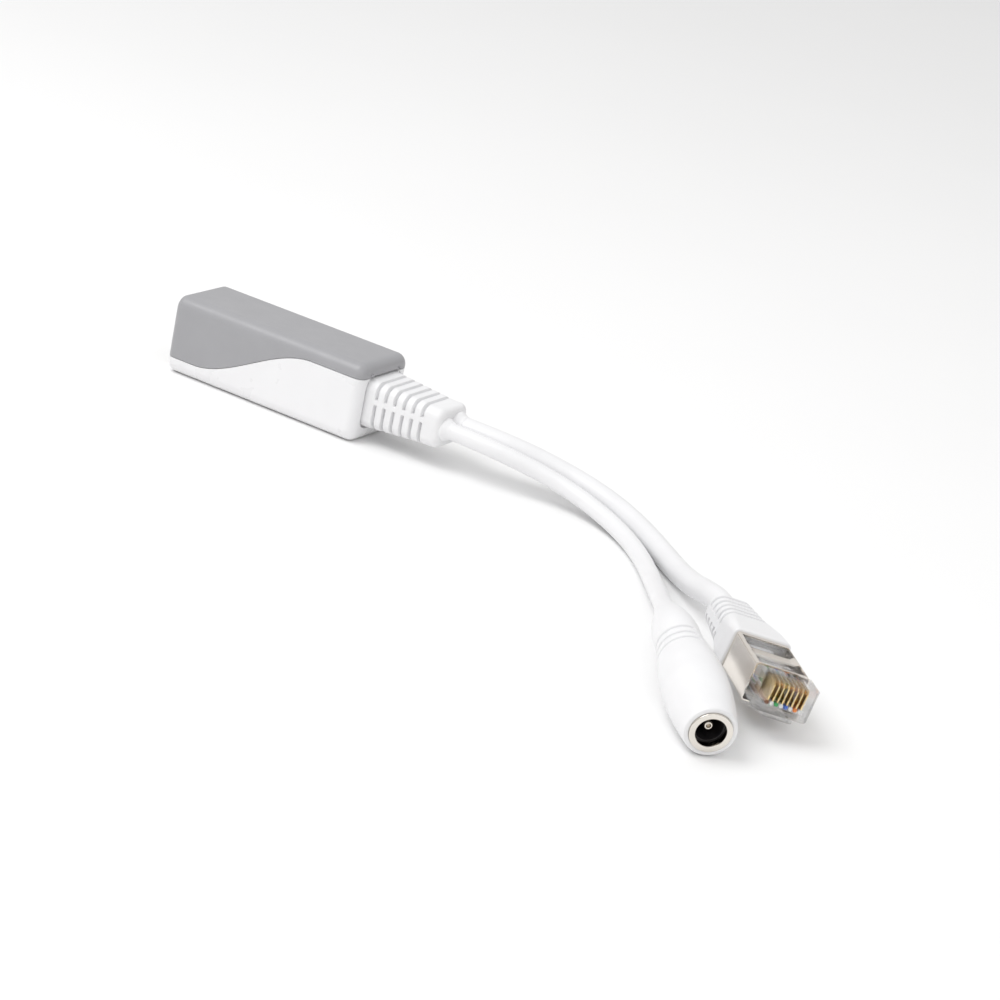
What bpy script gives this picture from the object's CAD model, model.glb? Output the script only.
"""A passive PoE injector: a two-tone housing, and two short white leads to an RJ45 plug and a DC jack."""
import math

import bmesh
import bpy
import numpy as np
from mathutils import Matrix, Vector


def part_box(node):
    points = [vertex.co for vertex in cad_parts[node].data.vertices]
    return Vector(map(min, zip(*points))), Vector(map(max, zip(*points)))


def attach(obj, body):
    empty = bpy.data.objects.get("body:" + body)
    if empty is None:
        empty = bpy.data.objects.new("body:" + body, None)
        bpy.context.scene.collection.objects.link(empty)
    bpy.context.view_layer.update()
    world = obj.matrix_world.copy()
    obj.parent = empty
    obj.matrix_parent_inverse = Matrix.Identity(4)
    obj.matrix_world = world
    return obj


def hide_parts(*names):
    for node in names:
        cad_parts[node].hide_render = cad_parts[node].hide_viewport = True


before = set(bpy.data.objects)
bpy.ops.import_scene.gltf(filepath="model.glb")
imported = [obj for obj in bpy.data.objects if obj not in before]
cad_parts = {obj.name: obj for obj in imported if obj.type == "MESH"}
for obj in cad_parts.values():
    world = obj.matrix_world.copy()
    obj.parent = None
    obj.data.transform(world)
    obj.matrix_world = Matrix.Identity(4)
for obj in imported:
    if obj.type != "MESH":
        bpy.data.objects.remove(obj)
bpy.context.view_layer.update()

# Sizes are in millimetres unless a name says otherwise, and pieces are turned into metres as they are made.
MM = 0.001
ROOT = "injector"


def span(*nodes):
    """Lowest and highest corner of some CAD nodes, in millimetres."""
    boxes = [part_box(node) for node in nodes]
    low = [min(b[0][k] for b in boxes) / MM for k in range(3)]
    high = [max(b[1][k] for b in boxes) / MM for k in range(3)]
    return low, high


# ---------- Camera ----------

# Lens and sensor in millimetres, place in metres, angles in degrees.
LENS, SENSOR = 100.8, 36
CAMERA_AT = (0.3345, -0.5333, 0.2150)
CAMERA_TURN, CAMERA_TILT, CAMERA_ROLL = 27, 70, 12


def make_camera():
    data = bpy.data.cameras.new("camera")
    data.lens = LENS
    data.sensor_width = SENSOR
    data.clip_start = 0.05
    data.clip_end = 30
    camera = bpy.data.objects.new("camera", data)
    bpy.context.scene.collection.objects.link(camera)
    turn = Matrix.Rotation(math.radians(CAMERA_TURN), 4, "Z")
    tilt = Matrix.Rotation(math.radians(CAMERA_TILT), 4, "X")
    roll = Matrix.Rotation(math.radians(CAMERA_ROLL), 4, "Z")
    camera.matrix_world = Matrix.Translation(CAMERA_AT) @ turn @ tilt @ roll
    bpy.context.scene.camera = camera


make_camera()


# ---------- Materials ----------

def node_tree(material):
    """A material's nodes, and the shader among them."""
    material.use_nodes = True
    tree = material.node_tree
    return tree, tree.nodes["Principled BSDF"]


def noise(tree, size_mm, detail=2.0, stretch=(1, 1, 1)):
    """A noise texture whose lumps are about size_mm across, fixed to the piece."""
    place = tree.nodes.new("ShaderNodeTexCoord")
    mapping = tree.nodes.new("ShaderNodeMapping")
    mapping.inputs["Scale"].default_value = stretch
    tree.links.new(place.outputs["Object"], mapping.inputs["Vector"])
    texture = tree.nodes.new("ShaderNodeTexNoise")
    texture.inputs["Scale"].default_value = 1 / (size_mm * MM)
    texture.inputs["Detail"].default_value = detail
    tree.links.new(mapping.outputs["Vector"], texture.inputs["Vector"])
    return texture.outputs["Fac"]


def spread(tree, value, low, high):
    """The middle of a noise, stretched between two values."""
    reach = tree.nodes.new("ShaderNodeMapRange")
    reach.inputs["From Min"].default_value = 0.3
    reach.inputs["From Max"].default_value = 0.7
    reach.inputs["To Min"].default_value = low
    reach.inputs["To Max"].default_value = high
    tree.links.new(value, reach.inputs["Value"])
    return reach.outputs["Result"]


def blend_colours(tree, value, first, second):
    """A colour between two, by a value from 0 to 1."""
    mix = tree.nodes.new("ShaderNodeMix")
    mix.data_type = "RGBA"
    mix.inputs["A"].default_value = (*first, 1)
    mix.inputs["B"].default_value = (*second, 1)
    tree.links.new(value, mix.inputs["Factor"])
    return mix.outputs["Result"]


def surface(name, colour, vary, patch_mm, rough, grain_mm, grain_deep_mm, stretch=(1, 1, 1), **sockets):
    """A moulded, drawn or plated surface: patches of colour, uneven gloss, and a fine grain."""
    material = bpy.data.materials.new(name)
    tree, shader = node_tree(material)
    darker = [c * (1 - vary) for c in colour]
    patches = spread(tree, noise(tree, patch_mm, 3, stretch), 0, 1)
    tree.links.new(blend_colours(tree, patches, darker, colour), shader.inputs["Base Color"])
    tree.links.new(
        spread(tree, noise(tree, patch_mm * 0.6, 4, stretch), rough * 0.85, rough * 1.15),
        shader.inputs["Roughness"],
    )
    bump = tree.nodes.new("ShaderNodeBump")
    bump.inputs["Strength"].default_value = 1
    bump.inputs["Distance"].default_value = grain_deep_mm * MM
    tree.links.new(noise(tree, grain_mm, 2, stretch), bump.inputs["Height"])
    tree.links.new(bump.outputs["Normal"], shader.inputs["Normal"])
    for socket, value in sockets.items():
        shader.inputs[socket.replace("_", " ")].default_value = value
    return material


def wire_colours(name, bands):
    """Insulation whose colour changes with the wire's place across the housing."""
    material = surface(name, (0.8, 0.8, 0.8), 0.04, 3, 0.35, 0.3, 0.004)
    tree, shader = node_tree(material)
    place = tree.nodes.new("ShaderNodeTexCoord")
    split = tree.nodes.new("ShaderNodeSeparateXYZ")
    tree.links.new(place.outputs["Object"], split.inputs["Vector"])
    reach = tree.nodes.new("ShaderNodeMapRange")
    reach.inputs["From Min"].default_value = -WIRES_HALF * MM
    reach.inputs["From Max"].default_value = WIRES_HALF * MM
    tree.links.new(split.outputs["Y"], reach.inputs["Value"])
    ramp = tree.nodes.new("ShaderNodeValToRGB")
    ramp.color_ramp.interpolation = "CONSTANT"
    ramp.color_ramp.elements[0].color = (*bands[0], 1)
    ramp.color_ramp.elements.remove(ramp.color_ramp.elements[1])
    for i, band in enumerate(bands[1:], 1):
        ramp.color_ramp.elements.new(i / len(bands)).color = (*band, 1)
    tree.links.new(reach.outputs["Result"], ramp.inputs["Fac"])
    tree.links.new(ramp.outputs["Color"], shader.inputs["Base Color"])
    return material


# Name, colour, how far it varies, size of its patches, roughness, and the grain's size and depth.
GREY_SHELL = surface("grey_shell", (0.355, 0.355, 0.37), 0.04, 9, 0.36, 0.16, 0.0022)
WHITE_SHELL = surface("white_shell", (0.84, 0.84, 0.85), 0.02, 9, 0.30, 0.2, 0.0012)
WHITE_RUBBER = surface("white_rubber", (0.84, 0.84, 0.85), 0.025, 6, 0.42, 0.25, 0.003)
LEAD_JACKET = surface("lead_jacket", (0.84, 0.84, 0.85), 0.03, 7, 0.36, 0.6, 0.006)
BLACK_PLASTIC = surface("black_plastic", (0.016, 0.014, 0.016), 0.3, 4, 0.42, 0.2, 0.003)
NICKEL = surface("nickel", (0.86, 0.81, 0.75), 0.05, 5, 0.17, 2.2, 0.010, Metallic=1.0)
BRIGHT_NICKEL = surface("bright_nickel", (0.80, 0.76, 0.70), 0.06, 3, 0.14, 0.8, 0.003, Metallic=1.0)
GOLD = surface("gold", (0.95, 0.72, 0.34), 0.08, 2, 0.2, 0.6, 0.002, Metallic=1.0)
TIN = surface("tin", (0.70, 0.70, 0.70), 0.1, 1, 0.34, 0.3, 0.005, Metallic=1.0)
BOARD = surface("board", (0.03, 0.20, 0.08), 0.35, 1.6, 0.3, 0.8, 0.006)
CLEAR = surface(
    "clear_plastic", (1.0, 1.0, 1.0), 0.01, 5, 0.05, 2.5, 0.004,
    Transmission_Weight=1.0, IOR=1.3, Alpha=0.42,
)

# Half the width that the board's eight wires span, and the colours of their insulation.
WIRES_HALF = 6.4
WHITE_WIRE = (0.85, 0.85, 0.84)
ORANGE, GREEN = (0.85, 0.25, 0.04), (0.05, 0.42, 0.12)
BLUE, BROWN = (0.06, 0.16, 0.62), (0.22, 0.09, 0.04)
DATA_INSULATION = wire_colours(
    "data_insulation", [WHITE_WIRE, ORANGE, WHITE_WIRE, BLUE, WHITE_WIRE, GREEN, WHITE_WIRE, BROWN],
)
RED_INSULATION = surface("red_insulation", (0.60, 0.03, 0.03), 0.1, 3, 0.35, 0.3, 0.004)


# ---------- Mesh helpers ----------

def smooth(t):
    """An eased step from 0 to 1."""
    t = min(1.0, max(0.0, t))
    return t * t * (3 - 2 * t)


def new_piece(name, points, faces, paint, slot, body=ROOT, place=Matrix.Identity(4), sharp=35):
    """A smooth-shaded piece from points in millimetres, set in place, riding on a body."""
    mesh = bpy.data.meshes.new(name)
    mesh.from_pydata([tuple(p) for p in points], [], faces)
    mesh.transform(Matrix.Scale(MM, 4) @ place)
    return add_mesh(name, mesh, paint, body, sharp)


def add_mesh(name, mesh, paint, body, sharp):
    mesh.validate()
    turn_outwards(mesh)
    shade(mesh, sharp)
    mesh.materials.clear()
    mesh.materials.append(paint)
    obj = bpy.data.objects.new(name, mesh)
    bpy.context.scene.collection.objects.link(obj)
    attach(obj, body)
    return obj


def turn_outwards(mesh):
    """Makes a closed mesh's faces look outwards, and leaves an open one as it is."""
    bm = bmesh.new()
    bm.from_mesh(mesh)
    if all(edge.is_manifold for edge in bm.edges):
        bmesh.ops.recalc_face_normals(bm, faces=bm.faces)
        bm.to_mesh(mesh)
    bm.free()


def shade(mesh, sharp):
    """Smooth shading that breaks only at edges sharper than the given angle."""
    mesh.shade_smooth()
    mesh.set_sharp_from_angle(angle=math.radians(sharp))


def grid_faces(rows, columns, closed, skip=lambda i, j: False):
    """The quads between rows of points, apart from those that skip names."""
    return [
        (i * columns + j, (i + 1) * columns + j,
         (i + 1) * columns + (j + 1) % columns, i * columns + (j + 1) % columns)
        for i in range(rows - 1)
        for j in range(columns if closed else columns - 1)
        if not skip(i, j)
    ]


def loft(rings, start=0):
    """Points and faces of a closed tube through rings, with flat ends. start numbers its first point."""
    columns = len(rings[0])
    points = [p for ring in rings for p in ring]
    faces = grid_faces(len(rings), columns, True)
    faces.append(tuple(range(columns)))
    faces.append(tuple(reversed(range(len(points) - columns, len(points)))))
    return points, [tuple(i + start for i in face) for face in faces]


def joined(*solids):
    """Several lofts as the points and faces of one piece."""
    points, faces = [], []
    for rings in solids:
        more, more_faces = loft(rings, len(points))
        points += more
        faces += more_faces
    return points, faces


def modified(obj, kind, **settings):
    """The piece with one modifier applied to its mesh."""
    modifier = obj.modifiers.new(kind.lower(), kind)
    for key, value in settings.items():
        setattr(modifier, key, value)
    bpy.context.view_layer.update()
    graph = bpy.context.evaluated_depsgraph_get()
    mesh = bpy.data.meshes.new_from_object(obj.evaluated_get(graph))
    obj.modifiers.clear()
    obj.data = mesh
    return obj


def rounded_path(points, radius, steps=5):
    """A line of points whose corners are eased over the given distance."""
    path = [points[0]]
    for before, corner, after in zip(points, points[1:], points[2:]):
        before, corner, after = (np.array(p, float) for p in (before, corner, after))
        back, on = before - corner, after - corner
        back_long, on_long = np.linalg.norm(back), np.linalg.norm(on)
        reach = min(radius, back_long * 0.49, on_long * 0.49)
        start, end = corner + back / back_long * reach, corner + on / on_long * reach
        for k in range(steps + 1):
            t = k / steps
            path.append(tuple((1 - t) ** 2 * start + 2 * t * (1 - t) * corner + t * t * end))
    path.append(points[-1])
    return path


def turned(profile, columns=96, start=0.0):
    """Rings about the X axis from points of distance along it and radius."""
    angles = [start + 2 * math.pi * k / columns for k in range(columns)]
    return [[(x, r * math.sin(a), r * math.cos(a)) for a in angles] for x, r in profile]


def turned_shell(profile, columns=96):
    """Points and faces of a hollow turned piece, from a closed profile of distance and radius."""
    rings = turned(profile + [profile[0]], columns)
    points = [p for ring in rings[:-1] for p in ring]
    count = len(points)
    faces = [tuple(i % count for i in face) for face in grid_faces(len(rings), columns, True)]
    return points, faces


def closed_profile(corners, radius):
    """A closed profile of distance and radius with every corner eased."""
    wrapped = [corners[-1]] + list(corners) + [corners[0]]
    return rounded_path(wrapped, radius, 4)[1:-1]


class RoundedRect:
    """An upright rectangle with round corners, walked from the middle of its top towards +Y."""

    def __init__(self, wide, high, radius, middle):
        self.wide, self.high, self.radius, self.middle = wide, high, radius, middle
        self.flat = wide / 2 - radius
        self.side = high - 2 * radius
        self.bend = math.pi * radius / 2
        self.half = 2 * self.flat + self.side + 2 * self.bend

    def at(self, s):
        """The point at a distance s from the middle of the top."""
        s = (s + self.half) % (2 * self.half) - self.half
        sign, s = (1, s) if s >= 0 else (-1, -s)
        top, low, r = self.middle + self.high / 2, self.middle - self.high / 2, self.radius
        first = self.flat + self.bend
        if s <= self.flat:
            y, z = s, top
        elif s <= first:
            turn = (s - self.flat) / r
            y, z = self.flat + r * math.sin(turn), top - r * (1 - math.cos(turn))
        elif s <= first + self.side:
            y, z = self.wide / 2, top - r - (s - first)
        elif s <= first + self.side + self.bend:
            turn = (s - first - self.side) / r
            y, z = self.wide / 2 - r * (1 - math.cos(turn)), low + r * (1 - math.sin(turn))
        else:
            y, z = self.half - s, low
        return sign * y, z

    def down_to(self, z):
        """Distance walked from the middle of the top down to height z."""
        top, low, r = self.middle + self.high / 2, self.middle - self.high / 2, self.radius
        if z >= top:
            return 0.0
        if z >= top - r:
            return self.flat + r * math.acos(1 - (top - z) / r)
        if z >= low + r:
            return self.flat + self.bend + top - r - z
        turn = math.asin(min(1.0, 1 - (z - low) / r))
        return self.flat + self.bend + self.side + r * turn


def rect_ring(x, wide, high, radius, middle, columns=64):
    """A ring of points round an upright rounded rectangle at x."""
    rect = RoundedRect(wide, high, radius, middle)
    return [(x, *rect.at(2 * rect.half * k / columns)) for k in range(columns)]


# ---------- Leads ----------

# The routes start at the strain relief. The power lead goes into the jack's tail at its point TAIL_AT.
ROUTE_START = (47, 0, 0)
POWER_ROUTE = [
    (0, -2.9, 9.5), (5, -2.8, 9.4), (11, -2.1, 8.9), (17, -0.8, 8.0), (23, 0.6, 6.8),
    (29, 1.4, 5.5), (35, 1.2, 4.3), (41, -0.3, 3.3), (47, -3.1, 2.6), (52.8, -7.2, 2.2),
    (58.2, -12.3, 2.1), (63.2, -18.2, 2.3), (67.8, -24.7, 3.0), (72.2, -31.5, 4.1), (76.5, -38.4, 5.5),
    (80.7, -45.3, 6.9), (84.7, -51.6, 8.2), (88.4, -57.3, 9.0), (91.8, -61.8, 9.1),
]
DATA_ROUTE = [
    (0, 2.2, 9.5), (5, 2.4, 9.4), (11, 3.2, 9.0), (17, 4.6, 8.2), (23, 6.0, 7.1),
    (29.4, 6.8, 5.9), (36, 6.5, 4.8), (42.6, 4.8, 3.9), (49, 1.8, 3.2), (55.2, -2.4, 2.8),
    (60.8, -7.0, 2.7), (66.1, -12.0, 2.9), (71.2, -17.2, 3.6), (76.2, -22.3, 4.8), (81.2, -27.2, 6.4),
    (86.1, -32.1, 7.7), (90.8, -37.2, 8.2),
]
POWER_DIA, DATA_DIA = 4.0, 5.2
TAIL_AT = 15
# How the plug and the jack lie, in degrees, and the height of the plug's own axis.
PLUG_TURN, PLUG_ROLL, PLUG_MID = -48, -11.5, 8.2
JACK_TURN, JACK_PITCH = -50, 6.3


def placed(route):
    """A route's points in the part's frame."""
    return [np.array(p, float) + ROUTE_START for p in route]


def lead_end(route):
    return Vector(placed(route)[-1])


PLUG_PLACE = (
    Matrix.Translation(lead_end(DATA_ROUTE))
    @ Matrix.Rotation(math.radians(PLUG_TURN), 4, "Z")
    @ Matrix.Rotation(math.radians(PLUG_ROLL), 4, "X")
    @ Matrix.Translation((0, 0, -PLUG_MID))
)
JACK_PLACE = (
    Matrix.Translation(lead_end(POWER_ROUTE))
    @ Matrix.Rotation(math.radians(JACK_TURN), 4, "Z")
    @ Matrix.Rotation(math.radians(JACK_PITCH), 4, "Y")
)


def spline(points, first, last, step=0.7):
    """A smooth line through the points that leaves and ends in the given directions."""
    points = [points[0] - first * 1.5, *points, points[-1] + last * 1.5]
    padded = [points[0] - first, *points, points[-1] + last]
    dense = []
    for a, b, c, d in zip(padded, padded[1:], padded[2:], padded[3:]):
        for t in np.linspace(0, 1, 24, endpoint=False):
            dense.append(0.5 * (2 * b + (c - a) * t + (2 * a - 5 * b + 4 * c - d) * t ** 2
                                + (3 * b - 3 * c + d - a) * t ** 3))
    dense = np.array(dense + [points[-1]])
    along = np.concatenate([[0], np.cumsum(np.linalg.norm(np.diff(dense, axis=0), axis=1))])
    places = np.linspace(0, along[-1], int(along[-1] / step) + 1)
    return np.stack([np.interp(places, along, dense[:, k]) for k in range(3)], axis=1)


def tube_rings(path, radius, columns=32):
    """Rings square to a path, which don't twist on the way. radius may be one number or one a ring."""
    radii = np.broadcast_to(radius, len(path))
    tangents = np.gradient(path, axis=0)
    tangents /= np.linalg.norm(tangents, axis=1)[:, None]
    up = np.array([0, 0, 1.0]) if abs(tangents[0][2]) < 0.9 else np.array([1.0, 0, 0])
    rings = []
    for centre, along, r in zip(path, tangents, radii):
        up = up - along * np.dot(up, along)
        up /= np.linalg.norm(up)
        side = np.cross(up, along)
        angles = [2 * math.pi * k / columns for k in range(columns)]
        rings.append([centre + r * (math.cos(a) * up - math.sin(a) * side) for a in angles])
    return rings


def make_lead(name, node, path, diameter):
    """A lead along a path, and the path in metres."""
    piece = new_piece(name, *loft(tube_rings(path, diameter / 2)), LEAD_JACKET, "lead_jacket", sharp=60)
    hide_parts(node)
    return piece, [tuple(p * MM) for p in path]


plug_axis = PLUG_PLACE.to_3x3() @ Vector((1, 0, 0))
jack_axis = JACK_PLACE.to_3x3() @ Vector((1, 0, 0))
lead_start = np.array([1.0, 0, 0])
whole_power_path = spline(placed(POWER_ROUTE), lead_start, np.array(jack_axis))
whole_data_path = spline(placed(DATA_ROUTE), lead_start, np.array(plug_axis))
tail_split = int(np.argmin(np.linalg.norm(whole_power_path - placed(POWER_ROUTE)[TAIL_AT], axis=1)))
power_lead, power_path = make_lead(
    "power_lead", "power_cable", whole_power_path[:tail_split + 3], POWER_DIA)
data_lead, data_path = make_lead("data_lead", "ethernet_cable", whole_data_path, DATA_DIA)


# ---------- Housing ----------

(BODY_X0, _, _), (BODY_X1, BODY_Y1, BODY_TOP) = span("top_shell", "bottom_shell")
BODY_LEN = BODY_X1 - BODY_X0
BODY_WID = 2 * BODY_Y1
EDGE_R, MIN_EDGE_R = 3, 0.8
END_R_SOCKET, END_R_CABLE = 1.7, 2.4
SEAM_GAP, SEAM_ROUND = 0.08, 0.16
SHELL_THICK = 0.8
OPENING_DEEP, OPENING_LIP = 1.2, 0.12
SOCKET_OPENING = RoundedRect(16.1, 12.6, 0.5, 10.0)
POCKET = RoundedRect(14.8, 12.8, 2.8, 9.5)
POCKET_DEEP = 1
NECK = RoundedRect(12.6, 10.2, 2, 9.5)
WAVE_LOW, WAVE_HIGH, WAVE_FROM, WAVE_RUN = 0.205, 0.82, 0.14, 0.6


def wave_z(x):
    """Height of the wavy parting line."""
    share = (x - BODY_X0) / BODY_LEN
    return BODY_TOP * (WAVE_LOW + (WAVE_HIGH - WAVE_LOW) * smooth((share - WAVE_FROM) / WAVE_RUN))


def grown(rect, by):
    """A rounded rectangle with every side moved outwards."""
    return RoundedRect(rect.wide + 2 * by, rect.high + 2 * by, rect.radius + by, rect.middle)


def between(first, second, t):
    """A rounded rectangle part of the way from one to another."""
    return RoundedRect(*((1 - t) * a + t * b for a, b in (
        (first.wide, second.wide), (first.high, second.high),
        (first.radius, second.radius), (first.middle, second.middle))))


def outside_rect(shrink):
    """The housing's outline, with every side moved inwards."""
    return RoundedRect(
        BODY_WID - 2 * shrink, BODY_TOP - 2 * shrink, max(MIN_EDGE_R, EDGE_R - shrink), BODY_TOP / 2)


def shell_rows():
    """The skin's outlines, from inside the socket opening, over the outside, to the cable end's pocket."""
    quarter = [math.radians(a) for a in (0, 11, 22, 34, 45, 56, 68, 79, 90)]
    lip = OPENING_LIP
    rows = [(BODY_X0 + OPENING_DEEP, SOCKET_OPENING)]
    for a in quarter[::2]:
        rows.append((BODY_X0 + lip * (1 - math.sin(a)), grown(SOCKET_OPENING, lip * (1 - math.cos(a)))))
    ring = outside_rect(END_R_SOCKET)
    rows += [(BODY_X0, between(grown(SOCKET_OPENING, lip), ring, t)) for t in (0.25, 0.5, 0.75)]
    for a in quarter:
        inset = END_R_SOCKET * (1 - math.sin(a))
        rows.append((BODY_X0 + END_R_SOCKET * (1 - math.cos(a)), outside_rect(inset)))
    for x in np.linspace(BODY_X0 + END_R_SOCKET, BODY_X1 - END_R_CABLE, 100)[1:-1]:
        rows.append((x, outside_rect(0)))
    for a in reversed(quarter):
        inset = END_R_CABLE * (1 - math.sin(a))
        rows.append((BODY_X1 - END_R_CABLE * (1 - math.cos(a)), outside_rect(inset)))
    ring = outside_rect(END_R_CABLE)
    rows += [(BODY_X1, between(ring, grown(POCKET, lip), t)) for t in (0.5, 1)]
    for a in reversed(quarter[:-1:2]):
        rows.append((BODY_X1 - lip * (1 - math.sin(a)), grown(POCKET, lip * (1 - math.cos(a)))))
    rows.append((BODY_X1 - POCKET_DEEP, POCKET))
    return rows


def seam_places(length, columns):
    """Distances along a row, crowded at both ends where the shell's edge is rounded."""
    near = [0, 0.03, 0.08, SEAM_ROUND, 0.3]
    middle = np.linspace(near[-1], length - near[-1], columns - 2 * len(near) + 2)[1:-1]
    return near + list(middle) + [length - d for d in reversed(near)]


def ease_edges(points, columns):
    """Sinks a grid's two long edges along its normals, so that the parting line has rounded lips."""
    grid = np.array(points).reshape(-1, columns, 3)
    normals = np.cross(np.gradient(grid, axis=0), np.gradient(grid, axis=1))
    normals /= np.linalg.norm(normals, axis=2)[:, :, None]
    for j, distance in enumerate((0, 0.03, 0.08)):
        sink = SEAM_ROUND - math.sqrt(SEAM_ROUND ** 2 - (SEAM_ROUND - distance) ** 2)
        for column in (j, columns - 1 - j):
            grid[:, column] -= normals[:, column] * sink
    return grid.reshape(-1, 3)


def make_shell(name, node, above, paint, slot):
    """The housing's half above or below the parting line."""
    columns = 132
    points, rows = [], shell_rows()
    if not above:
        rows.append((BODY_X1 - POCKET_DEEP, NECK))
    for x, rect in rows:
        edge = rect.down_to(wave_z(x) + (SEAM_GAP / 2 if above else -SEAM_GAP / 2))
        start, length = (-edge, 2 * edge) if above else (edge, 2 * (rect.half - edge))
        points += [(x, *rect.at(start + d)) for d in seam_places(length, columns)]
    faces = grid_faces(len(rows), columns, False)
    shell = new_piece(name, ease_edges(points, columns), faces, paint, slot)
    modified(shell, "SOLIDIFY", thickness=SHELL_THICK * MM, offset=-1, use_even_offset=True)
    shade(shell.data, 35)
    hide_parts(node)
    return shell


make_shell("upper_shell", "top_shell", True, GREY_SHELL, "grey_shell")
make_shell("lower_shell", "bottom_shell", False, WHITE_SHELL, "white_shell")


# ---------- Strain reliefs ----------

# Where a slot's wall is drawn, by distance from its edge, and how deep it is there, from 0 to 1.
SLOT_ROWS = (-0.1, 0.0, 0.06, 0.12)
SLOT_DEPTHS = (0, 0.14, 0.7, 1)
SLOTTED_COLUMNS = 176
BOOT_SLOTS, BOOT_SLOT_FROM, BOOT_SLOT_PITCH, BOOT_SLOT_WIDE, BOOT_SLOT_DEEP = 6, 2.4, 2.45, 0.8, 1.15
BOOT_RIB = (0.6, 1.9)
BOOT_END_ROUND = 1.5
BOOT_FLANGE, BOOT_NECK = (14.4, 12, 2), (12.4, 10, 2)
PLUG_BOOT_LEN = 21.5
PLUG_SLOTS, PLUG_SLOT_FROM, PLUG_SLOT_PITCH, PLUG_SLOT_WIDE, PLUG_SLOT_DEEP = 5, 1.5, 2.3, 0.9, 1.05
PLUG_RIB = (-1.0, 0.6)
PLUG_START_ROUND, PLUG_END_ROUND = 0.9, 0.4


def slot_stations(slots, wide):
    """Places along a strain relief at which its slots need rings."""
    places = []
    for x in slots:
        places += [x + d for d in SLOT_ROWS] + [x + wide / 2] + [x + wide - d for d in SLOT_ROWS]
    return places


def slot_share(x, slots, wide):
    """How deep x lies in a slot, from 0 outside to 1 on its floor."""
    shape = [*SLOT_ROWS, *(wide - d for d in reversed(SLOT_ROWS))]
    depth = [*SLOT_DEPTHS, *reversed(SLOT_DEPTHS)]
    return max(float(np.interp(x - slot, shape, depth, left=0, right=0)) for slot in slots)


def slotted_rings(stations, rect_at, slots, wide, deep, rib, columns=SLOTTED_COLUMNS):
    """Sections with slots over the top and under the bottom, and a rib between them on each side."""
    soft = 0.3
    rings = []
    for x in stations:
        rect = rect_at(x)
        inner = grown(rect, -deep * slot_share(x, slots, wide))
        ring = []
        for k in range(columns):
            outside = np.array(rect.at(2 * rect.half * k / columns))
            inside = np.array(inner.at(2 * inner.half * k / columns))
            up = outside[1] - rect.middle
            share = smooth((up - rib[1]) / soft) + smooth((rib[0] - up) / soft)
            ring.append((x, *(outside + (inside - outside) * share)))
        rings.append(ring)
    return rings


def merged(*lists):
    """Places in order, without those that all but coincide."""
    places = []
    for x in sorted(x for part in lists for x in part):
        if not places or x - places[-1] > 0.012:
            places.append(x)
    return places


def collar(at, radius, columns=40):
    """The short swelling of a strain relief round a lead."""
    profile = [(-1.2, radius + 0.75), (0.1, radius + 0.75), (0.5, radius + 0.66), (0.9, radius + 0.42),
               (1.3, radius + 0.2), (1.7, radius + 0.08), (2.1, radius + 0.02)]
    return [[(x + at[0], y + at[1], z + at[2]) for x, y, z in ring] for ring in turned(profile, columns)]


def make_cable_boot():
    """The housing's strain relief: a flange and neck in the pocket, then a tapering body and two collars."""
    boot_end = span("cable_boot")[1][0]
    root = BODY_X1 - POCKET_DEEP + 0.02
    middle = POCKET.middle
    slots = [BODY_X1 + BOOT_SLOT_FROM + i * BOOT_SLOT_PITCH for i in range(BOOT_SLOTS)]
    end_round = BOOT_END_ROUND

    def rect_at(x):
        taper = min(1.0, (x - root) / (boot_end - 3.5 - root))
        rest = x - (boot_end - end_round)
        pull = end_round - math.sqrt(max(0.0, end_round ** 2 - rest ** 2)) if rest > 0 else 0
        return RoundedRect(14 - 1.6 * taper - 2 * pull, 12 - 2.6 * taper - 2 * pull,
                           max(0.8, 2.6 - 0.2 * taper - pull * 0.6), middle)

    tip = [boot_end - end_round * (1 - math.sin(math.radians(a))) for a in range(0, 90, 10)]
    stations = merged(np.linspace(root, boot_end - end_round, 44), slot_stations(slots, BOOT_SLOT_WIDE),
                      tip, [boot_end - 0.01])
    inner = [rect_ring(x, *size, middle, SLOTTED_COLUMNS) for x, size in (
        (root - 2.12, BOOT_FLANGE), (root - 0.54, BOOT_FLANGE),
        (root - 0.53, BOOT_NECK), (root - 0.01, BOOT_NECK))]
    outer = slotted_rings(stations, rect_at, slots, BOOT_SLOT_WIDE, BOOT_SLOT_DEEP, BOOT_RIB)
    collars = [collar(np.add(ROUTE_START, (0, *route[0][1:])), dia / 2)
               for route, dia in ((POWER_ROUTE, POWER_DIA), (DATA_ROUTE, DATA_DIA))]
    piece = new_piece(
        "strain_relief", *joined(inner + outer, *collars), WHITE_RUBBER, "white_rubber", sharp=50)
    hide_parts("cable_boot")
    return piece


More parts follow.
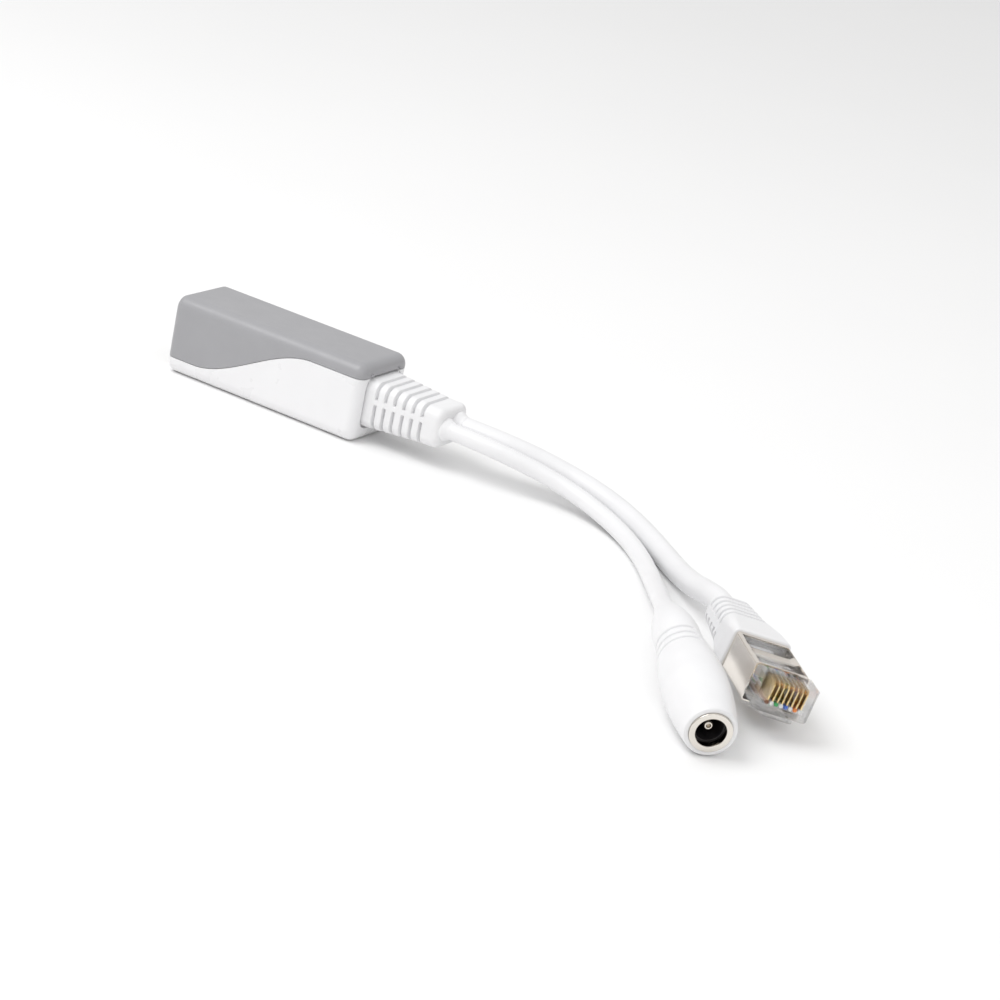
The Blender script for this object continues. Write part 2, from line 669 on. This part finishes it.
def make_plug_boot():
    """The plug's strain relief. Its slots wrap over the top and under the bottom."""
    slots = [PLUG_SLOT_FROM + i * PLUG_SLOT_PITCH for i in range(PLUG_SLOTS)]
    start, end = PLUG_START_ROUND, PLUG_END_ROUND

    def rect_at(x):
        at = (0, 10, 16.5, PLUG_BOOT_LEN)
        pull = start - math.sqrt(max(0.0, start ** 2 - (start - x) ** 2)) if x < start else 0
        rest = x - PLUG_BOOT_LEN + end
        pull += end - math.sqrt(max(0.0, end ** 2 - rest ** 2)) if rest > 0 else 0
        return RoundedRect(np.interp(x, at, (9.2, 10.4, 12.4, 12.8)) - 2 * pull,
                           np.interp(x, at, (6.8, 8, 9, 9.2)) - 2 * pull,
                           np.interp(x, at, (2.6, 2.4, 1.7, 1.2)) - 0.8 * pull, PLUG_MID)

    ends = [0.01, 0.05, 0.12, 0.22, 0.35, 0.5, 0.7]
    ends += [PLUG_BOOT_LEN - d for d in (0.35, 0.25, 0.15, 0.08, 0.03, 0.01)]
    stations = merged(
        np.linspace(start, PLUG_BOOT_LEN - end, 44), slot_stations(slots, PLUG_SLOT_WIDE), ends)
    rings = slotted_rings(stations, rect_at, slots, PLUG_SLOT_WIDE, PLUG_SLOT_DEEP, PLUG_RIB)
    piece = new_piece(
        "plug_strain_relief", *loft(rings), WHITE_RUBBER, "white_rubber", place=PLUG_PLACE, sharp=50)
    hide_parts("plug_boot")
    return piece


strain_relief = make_cable_boot()
plug_strain_relief = make_plug_boot()


# ---------- Finer copies of CAD nodes ----------

def box_mesh(low, high, place):
    """A box between two corners, set in place."""
    mesh = bpy.data.meshes.new("cutter")
    bm = bmesh.new()
    bmesh.ops.create_cube(bm, size=1)
    for v in bm.verts:
        v.co = Vector([low[k] + (v.co[k] + 0.5) * (high[k] - low[k]) for k in range(3)])
    bm.to_mesh(mesh)
    bm.free()
    mesh.transform(Matrix.Scale(MM, 4) @ place)
    return mesh


def refined(name, node, paint, bevel, body=ROOT, cuts=(), place=Matrix.Identity(4), segments=3):
    """A copy of a CAD node with its flat faces joined, boxes cut away and its edges rounded."""
    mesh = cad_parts[node].data.copy()
    bm = bmesh.new()
    bm.from_mesh(mesh)
    bmesh.ops.remove_doubles(bm, verts=bm.verts, dist=1e-6)
    bmesh.ops.dissolve_limit(bm, angle_limit=math.radians(1), verts=bm.verts, edges=bm.edges)
    bm.to_mesh(mesh)
    bm.free()
    if mesh.has_custom_normals:
        mesh.attributes.remove(mesh.attributes["custom_normal"])
    obj = add_mesh(name, mesh, paint, body, 35)
    for low, high in cuts:
        cutter = bpy.data.objects.new("cutter", box_mesh(low, high, place))
        bpy.context.scene.collection.objects.link(cutter)
        modified(obj, "BOOLEAN", object=cutter, operation="DIFFERENCE", solver="EXACT")
        bpy.data.objects.remove(cutter)
    if bevel:
        modified(obj, "BEVEL", width=bevel * MM, segments=segments, limit_method="ANGLE",
                 angle_limit=math.radians(40), harden_normals=False)
    shade(obj.data, 40)
    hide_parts(node)
    return obj


refined("socket_housing", "socket_insert", BLACK_PLASTIC, 0.12)
refined("socket_shell", "socket_shield", NICKEL, 0.06, segments=2)
refined("board", "circuit_board", BOARD, 0.05, segments=2)


# ---------- RJ45 socket's contacts ----------

PITCH = 1.02
SPRING_R = 0.23


def make_socket_springs():
    """Eight bowed wires, each with its tip turned up."""
    low, high = span("socket_contacts")
    roof, tip_z = high[2] - 0.25, low[2] + 0.25
    solids = []
    for i in range(8):
        y = (i - 3.5) * PITCH
        line = rounded_path([
            (low[0] + 0.26, y, roof), (low[0] + 1.6, y, roof - 0.35), (low[0] + 5.2, y, roof - 1.9),
            (high[0] - 1.6, y, tip_z + 0.02), (high[0] - 0.25, y, tip_z + 0.35)], 1.5, 6)
        solids.append(tube_rings(np.array(line), SPRING_R, 16))
    piece = new_piece("socket_springs", *joined(*solids), GOLD, "gold", body="contact_springs", sharp=50)
    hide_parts("socket_contacts")


make_socket_springs()


# ---------- RJ45 plug ----------

PLUG_X0 = PLUG_BOOT_LEN
PLUG_WID, PLUG_HGT, PLUG_CORNER = 11.7, 8.2, 0.7
PLUG_TOP = PLUG_MID + PLUG_HGT / 2
# The shield's sheet, the strap pressed into its top, its windows and the notch over the catch.
SHEET = 0.28
STRAP = (PLUG_X0 + 5, PLUG_X0 + 8.6)
STRAP_SINK, STRAP_HEM = 0.55, 0.22
WINDOWS = ((PLUG_X0 + 1.1, STRAP[0]), (STRAP[1], PLUG_X0 + 13.8))
WINDOW_HALF = 5.15
NOTCH_X, NOTCH_HALF = PLUG_X0 + 8.6, 3.7
# The conductors in the nose: their height, radius, and where they start and end.
WIRE_Z, WIRE_R = PLUG_MID - 0.7, 0.45
WIRE_FROM, WIRE_TO = PLUG_X0 + 9.8, PLUG_X0 + 20.9


def make_plug_shield():
    """A folded nickel sheet with two windows on top, the strap between them pressed in, and a catch notch."""
    corner = PLUG_CORNER
    top = (-WINDOW_HALF, -4.9, -4.6, -4.3, -3.8, -2, 0, 2, 3.8, 4.3, 4.6, 4.9, WINDOW_HALF)
    low = (NOTCH_HALF, 2, 0, -2, -NOTCH_HALF)
    turns = [math.radians(a) for a in range(0, 91, 15)]
    flat_y, flat_z = PLUG_WID / 2 - corner, PLUG_HGT / 2 - corner
    outline = [(y, PLUG_HGT / 2) for y in top if abs(y) < flat_y or abs(y) == WINDOW_HALF]
    outline += [(flat_y + corner * math.sin(a), flat_z + corner * math.cos(a)) for a in turns[1:]]
    outline += [(PLUG_WID / 2, z) for z in (2.2, 1.1, 0, -1.1, -2.2)]
    outline += [(flat_y + corner * math.cos(a), -flat_z - corner * math.sin(a)) for a in turns]
    outline += [(y, -PLUG_HGT / 2) for y in low]
    outline += [(-flat_y - corner * math.sin(a), -flat_z - corner * math.cos(a)) for a in turns]
    outline += [(-PLUG_WID / 2, z) for z in (-2.2, -1.1, 0, 1.1, 2.2)]
    outline += [(-flat_y - corner * math.cos(a), flat_z + corner * math.sin(a)) for a in turns[:-1]]
    back = [PLUG_X0 + d for d in (0, 0.4, 0.8, 1.1)]
    front = [PLUG_X0 + 14.15, PLUG_X0 + 14.48]
    stations = merged(back, np.linspace(*WINDOWS[0], 5), np.linspace(*STRAP, 9),
                      np.linspace(*WINDOWS[1], 7), front)

    def sink(x, y):
        if not STRAP[0] - 0.01 <= x <= STRAP[1] + 0.01:
            return 0
        edge = min(x - STRAP[0], STRAP[1] - x)
        return STRAP_SINK * smooth((WINDOW_HALF - abs(y)) / 0.9) + STRAP_HEM * max(0, 1 - edge / 0.5) ** 2

    points = []
    for x in stations:
        for y, z in outline:
            on_top = z > PLUG_HGT / 2 - 1e-6 and abs(y) <= WINDOW_HALF
            points.append((x, y, PLUG_MID + z - (sink(x, y) if on_top else 0)))
    count = len(outline)

    def open_at(i, j):
        x = (stations[i] + stations[i + 1]) / 2
        (y0, z0), (y1, z1) = outline[j], outline[(j + 1) % count]
        on_top = min(z0, z1) > PLUG_HGT / 2 - 1e-6 and max(abs(y0), abs(y1)) <= WINDOW_HALF
        below = max(z0, z1) < -PLUG_HGT / 2 + 1e-6 and max(abs(y0), abs(y1)) <= NOTCH_HALF
        return (on_top and any(a < x < b for a, b in WINDOWS)) or (below and x > NOTCH_X)

    faces = grid_faces(len(stations), count, True, open_at)
    shield = new_piece("plug_shell", points, faces, NICKEL, "nickel", place=PLUG_PLACE)
    modified(shield, "SOLIDIFY", thickness=SHEET * MM, offset=-1, use_even_offset=True)
    shade(shield.data, 35)
    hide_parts("plug_shield")
    return shield


def make_plug_wires():
    """Eight conductors side by side, their cut ends at the front, in the order that a plug has."""
    colours = [BROWN, WHITE_WIRE, GREEN, WHITE_WIRE, BLUE, WHITE_WIRE, ORANGE, WHITE_WIRE]
    profile = [(WIRE_FROM, WIRE_R - 0.06), (WIRE_FROM + 0.06, WIRE_R),
               (WIRE_TO - 0.08, WIRE_R), (WIRE_TO, WIRE_R - 0.08)]
    wires = []
    for i, colour in enumerate(colours):
        y = (i - 3.5) * PITCH
        rings = [[(x, y + dy, WIRE_Z + dz) for x, dy, dz in ring] for ring in turned(profile, 24)]
        paint = surface(f"wire_{i + 1}_insulation", colour, 0.06, 2, 0.32, 0.3, 0.003)
        wires.append(new_piece(
            f"plug_wire_{i + 1}", *loft(rings), paint, "wire_insulation", place=PLUG_PLACE))
    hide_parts("plug_wires")
    return wires


def make_catch():
    """The sprung catch: a tongue that hangs from the nose, steps in and thins towards its free end."""
    hinge_z = PLUG_MID - 2.9
    drop = [(20.6, 0.45), (19, 0.62), (15.5, 1.45), (12.9, 2.25),
            (11, 2.8), (8, 3.65), (5.9, 4.15), (5.25, 4.28)]
    line = [(PLUG_X0 + x, hinge_z - down) for x, down in drop]
    along = [x for x, down in drop]
    steps = (5.2, 11.3, 12.7, 20.6)
    wide = np.interp(along, steps, (3.6, 3.8, 6.0, 6.2))
    thick = np.interp(along, steps, (0.95, 1.0, 1.15, 0.85))
    rings = []
    fine = np.linspace(0, len(line) - 1, 40)
    keys = np.arange(len(line))
    path = np.stack([np.interp(fine, keys, [p[k] for p in line]) for k in range(2)], axis=1)
    slope = np.gradient(path, axis=0)
    slope /= np.linalg.norm(slope, axis=1)[:, None]
    sizes = zip(np.interp(fine, keys, wide), np.interp(fine, keys, thick))
    for (x, z), (dx, dz), (w, t) in zip(path, slope, sizes):
        section = RoundedRect(w, t, 0.25, 0)
        ring = []
        for k in range(48):
            y, up = section.at(-2 * section.half * k / 48)
            ring.append((x + up * dz, y, z - up * dx))
        rings.append(ring)
    catch = new_piece(
        "catch", *loft(rings), CLEAR, "clear_plastic", body="plug_catch", place=PLUG_PLACE, sharp=50)
    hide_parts("plug_latch")
    return catch


plug_shell = make_plug_shield()
plug_wires = make_plug_wires()
catch = make_catch()
plug_clear = refined(
    "plug_housing", "plug_body", CLEAR, 0.1, place=PLUG_PLACE,
    cuts=[((STRAP[0] - 0.15, -WINDOW_HALF, PLUG_TOP - 1.15), (STRAP[1] + 0.15, WINDOW_HALF, PLUG_TOP + 1))],
)
plug_blades = refined("plug_blades", "plug_contacts", GOLD, 0.04, segments=2)
plug_core = refined("plug_core", "plug_jacket", LEAD_JACKET, 0.3)


# ---------- DC jack ----------

JACK_LEN = 34
JACK_WIDE_R, JACK_NECK_R, JACK_NOSE_R = 6.5, 4.7, 5.1
# Where the grip has its full width, from and to.
JACK_WIDE_FROM, JACK_WIDE_TO = 18, 21
GROOVES, GROOVE_WIDE, GROOVE_DEEP = (2.6, 5.1, 7.6), 0.75, 0.55
GROOVE_ARC, GROOVE_TURN = math.radians(65), math.radians(-40)
RING_R, RING_OUT_R, RING_DEEP = 3.0, 4.2, 2
BARREL_R, BARREL_LEN = 3.7, 12
PIN_R, PIN_BASE, PIN_TIP = 1.05, 24.2, 31.5


def grip_r(x):
    """The grip's radius at a distance along it."""
    if x < JACK_WIDE_TO:
        return JACK_NECK_R + (JACK_WIDE_R - JACK_NECK_R) * smooth(x / JACK_WIDE_FROM)
    taper = (x - JACK_WIDE_TO) / (JACK_LEN - JACK_WIDE_TO)
    return JACK_WIDE_R - (JACK_WIDE_R - JACK_NOSE_R) * taper ** 1.6


def tail_rings(columns):
    """The grip's long tail, which follows the lead's bend and thins until it meets the lead."""
    path = whole_power_path[tail_split:-2]
    into_jack = JACK_PLACE.inverted()
    left = np.linalg.norm(path - path[-1], axis=1)
    radii = [JACK_NECK_R - (JACK_NECK_R - POWER_DIA / 2 - 0.1) * smooth(d / (left[0] + 2)) for d in left]
    radii[0] = POWER_DIA / 2 + 0.02
    rings = tube_rings(path, radii, columns)
    turned_rings = [[tuple(into_jack @ Vector(ring[-k])) for k in range(columns)] for ring in rings]
    return [ring for ring in turned_rings if max(p[0] for p in ring) < 0.15]


def make_jack_grip():
    """The moulded grip: its tail, the grooved and swelling body, and a rounded mouth round the barrel."""
    front = JACK_LEN - 0.35
    stations = merged(np.linspace(0.3, front - 0.5, 60), slot_stations(GROOVES, GROOVE_WIDE))
    columns = 144
    rings = tail_rings(columns)
    for x in stations:
        depth = GROOVE_DEEP * slot_share(x, GROOVES, GROOVE_WIDE)
        ring = []
        for k in range(columns):
            a = 2 * math.pi * k / columns
            off = abs((a - GROOVE_TURN + math.pi / 2) % math.pi - math.pi / 2)
            r = grip_r(x) - depth * smooth((GROOVE_ARC - off) / 0.12)
            ring.append((x, r * math.sin(a), r * math.cos(a)))
        rings.append(ring)
    mouth = RING_OUT_R + 0.02
    nose = grip_r(front)
    rings += turned([(front - 0.3, nose + 0.02), (front - 0.13, nose - 0.05), (front - 0.03, nose - 0.2),
                     (front, nose - 0.4), (front, mouth + 0.12), (front - 0.05, mouth + 0.03),
                     (front - 0.15, mouth), (JACK_LEN - BARREL_LEN, mouth)], columns)
    grip = new_piece("jack_grip", *loft(rings), WHITE_RUBBER, "white_rubber", place=JACK_PLACE, sharp=50)
    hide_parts("jack_body")
    return grip


def make_jack_metal():
    """The barrel with its front ring, and the centre pin with its hollow tip."""
    back, step, tip, r = JACK_LEN - BARREL_LEN, JACK_LEN - RING_DEEP, PIN_TIP, PIN_R
    shell = closed_profile([
        (back, RING_OUT_R), (JACK_LEN, RING_OUT_R), (JACK_LEN, RING_R), (step, RING_R),
        (step, BARREL_R), (back, BARREL_R)], 0.22)
    barrel = new_piece(
        "jack_shell", *turned_shell(shell), BRIGHT_NICKEL, "nickel", place=JACK_PLACE, sharp=45)
    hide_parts("jack_barrel")
    outer = rounded_path(
        [(PIN_BASE, r), (tip - 0.45, r), (tip, r - 0.32), (tip, 0.45), (tip - 1.6, 0.43)], 0.18, 4)
    pin = new_piece("jack_centre_pin", *loft(turned(outer, 48)), BRIGHT_NICKEL, "nickel", place=JACK_PLACE)
    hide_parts("jack_pin")
    return [barrel, pin]


jack_grip = make_jack_grip()
jack_metal = make_jack_metal()
jack_liner = refined("jack_liner", "jack_insulator", BLACK_PLASTIC, 0.08, segments=2)
jack_leaf = refined("jack_leaf_spring", "jack_spring", GOLD, 0.03, body="jack_leaf", segments=2)


# ---------- Hidden nodes that stay as the CAD has them ----------

def repaint(node, paint):
    """A CAD node with a new material."""
    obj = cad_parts[node]
    obj.data.materials.clear()
    obj.data.materials.append(paint)
    return obj


repaint("solder_pins", TIN)
repaint("data_wires", DATA_INSULATION)
repaint("power_wires", RED_INSULATION)
jack_lugs = repaint("jack_lugs", TIN)
jack_wires = repaint("jack_wires", RED_INSULATION)


# ---------- The leads as free cords ----------


# ---------- Floor and light ----------

def make_floor():
    """A plain pale floor, 16 m across."""
    mesh = bpy.data.meshes.new("floor")
    reach = 8
    corners = [(-reach, -reach, 0), (reach, -reach, 0), (reach, reach, 0), (-reach, reach, 0)]
    mesh.from_pydata(corners, [], [(0, 1, 2, 3)])
    mesh.materials.append(surface("floor", (0.93, 0.93, 0.93), 0.01, 200, 0.9, 5, 0.01))
    floor = bpy.data.objects.new("floor", mesh)
    bpy.context.scene.collection.objects.link(floor)


def make_light(name, spot, aim, size, power):
    """A soft light at a spot, aimed at another, in metres and watts."""
    data = bpy.data.lights.new(name, "AREA")
    data.shape = "RECTANGLE"
    data.size, data.size_y = size
    data.energy = power
    light = bpy.data.objects.new(name, data)
    light.location = spot
    light.rotation_euler = (Vector(aim) - Vector(spot)).to_track_quat("-Z", "Y").to_euler()
    bpy.context.scene.collection.objects.link(light)


def make_world():
    """A white surround that is a little darker and warmer below."""
    world = bpy.data.worlds.new("studio")
    bpy.context.scene.world = world
    world.use_nodes = True
    tree = world.node_tree
    background = tree.nodes["Background"]
    place = tree.nodes.new("ShaderNodeTexCoord")
    split = tree.nodes.new("ShaderNodeSeparateXYZ")
    tree.links.new(place.outputs["Generated"], split.inputs["Vector"])
    ramp = tree.nodes.new("ShaderNodeValToRGB")
    ramp.color_ramp.elements[0].position = 0.0
    ramp.color_ramp.elements[0].color = (0.55, 0.5, 0.46, 1)
    ramp.color_ramp.elements[1].position = 0.35
    ramp.color_ramp.elements[1].color = (1, 1, 1, 1)
    tree.links.new(split.outputs["Z"], ramp.inputs["Fac"])
    tree.links.new(ramp.outputs["Color"], background.inputs["Color"])
    background.inputs["Strength"].default_value = 0.78


make_floor()
make_world()
make_light("key", (-0.25, -0.35, 0.75), (0.05, 0, 0), (0.5, 0.5), 3.4)
make_light("fill", (0.6, -0.7, 0.6), (0.08, -0.03, 0), (0.6, 0.6), 0.8)
bpy.context.scene.view_settings.view_transform = "Standard"
